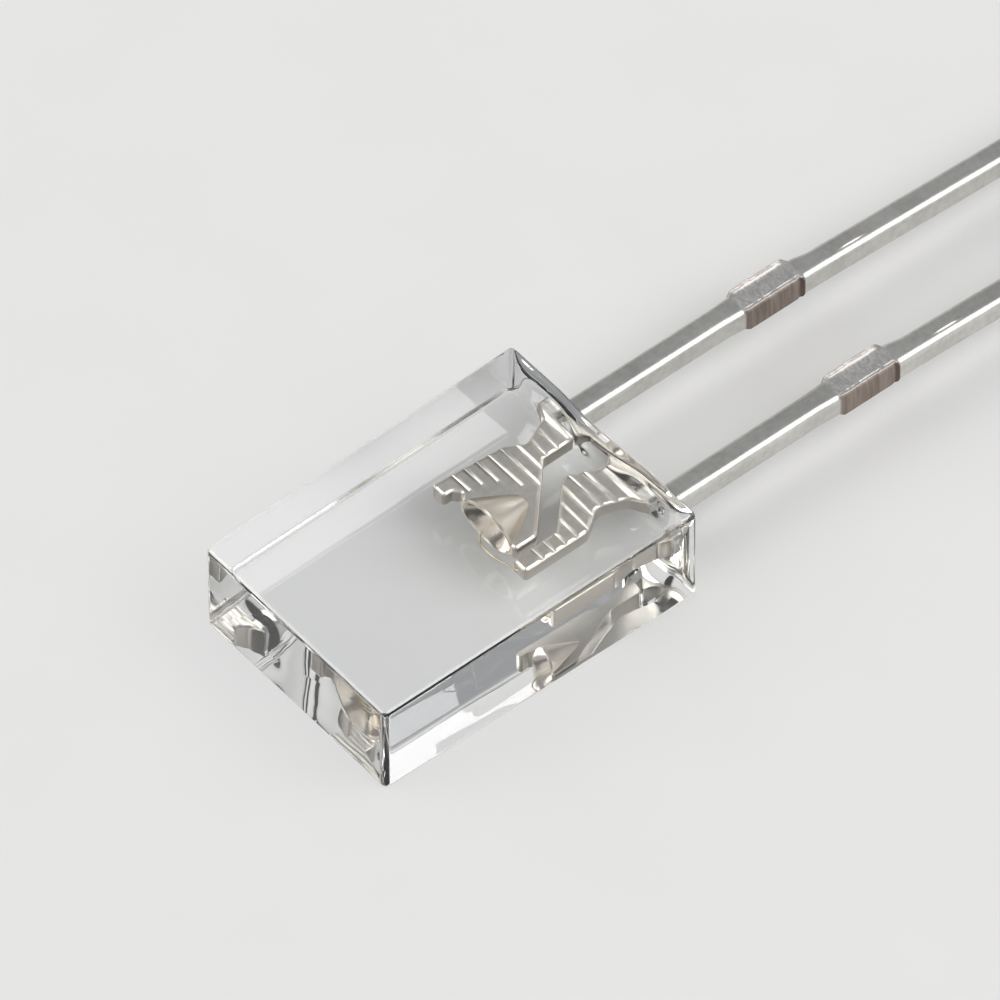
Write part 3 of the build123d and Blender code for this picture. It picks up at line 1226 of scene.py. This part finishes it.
def softbox(name, azimuth, elevation, distance, size, power):
    """A square lamp that faces the body, from a compass angle and a height angle in degrees."""
    lamp = bpy.data.lights.new(name, "AREA")
    lamp.shape = "SQUARE"
    lamp.size = size
    lamp.energy = power
    holder = in_scene(name, lamp)
    turn = math.radians(azimuth)
    tilt = math.radians(elevation)
    towards = Vector((math.cos(turn) * math.cos(tilt), math.sin(turn) * math.cos(tilt), math.sin(tilt)))
    holder.location = towards * distance
    holder.rotation_euler = (-towards).to_track_quat("-Z", "Y").to_euler()
    print(name, "at", [round(part, 2) for part in holder.location])


softbox("key_lamp", azimuth=-50, elevation=50, distance=0.6, size=0.48, power=2.5)
softbox("left_lamp", azimuth=139, elevation=40, distance=0.7, size=0.50, power=2.4)

studio = Finish("studio", kept_in=bpy.data.worlds, shader="Background")
_, _, height = studio.parts(studio.node("ShaderNodeTexCoord")["Generated"])
walls = 1 - height.between(0.18, 0.55)
studio.set(Color=studio.blend(walls, (0.30, 0.305, 0.315), (0.70, 0.70, 0.69)), Strength=1.0)
bpy.context.scene.world = studio.material
print("surroundings:", len(studio.tree.nodes), "nodes")

# %% [markdown]
# The camera stands 30 cm away with a long lens, high above a front corner of the part, as a product
# photographer would place it. Its place follows from the angles and from where the middle of the body's
# front face lies in the picture.

# %% Camera
view_azimuth = math.radians(-39.32)
view_elevation = math.radians(49.95)
view_roll = math.radians(-0.44)
view_distance = 300.0
pixels_per_mm = 58.50
picture_side = 1000
front_in_picture = (295.3, 667.2)
front_centre = Vector((-3.43, 0.0, lead_height))

flat = math.cos(view_elevation)
backward = Vector((math.sin(view_azimuth) * flat, -math.cos(view_azimuth) * flat, math.sin(view_elevation)))
level = Vector((math.cos(view_azimuth), math.sin(view_azimuth), 0.0))
upward = backward.cross(level)
rightward = level * math.cos(view_roll) + upward * math.sin(view_roll)
upward = upward * math.cos(view_roll) - level * math.sin(view_roll)

offset_right = (front_in_picture[0] - picture_side / 2) / pixels_per_mm
offset_up = -(front_in_picture[1] - picture_side / 2) / pixels_per_mm
stand = front_centre - offset_right * rightward - offset_up * upward + view_distance * backward

camera = bpy.data.cameras.new("camera")
camera.sensor_width = 36.0
camera.lens = camera.sensor_width * pixels_per_mm * view_distance / picture_side
camera.clip_start = 0.01
camera.clip_end = 10.0
eye = in_scene("camera", camera)
rows = [(rightward[axis], upward[axis], backward[axis], stand[axis] * MILLIMETRE) for axis in range(3)]
eye.matrix_world = Matrix(rows + [(0.0, 0.0, 0.0, 1.0)])
bpy.context.scene.camera = eye
bpy.context.scene.view_settings.view_transform = "Standard"
print("lens", round(camera.lens, 1), "mm, camera at", [round(part, 4) for part in eye.location])
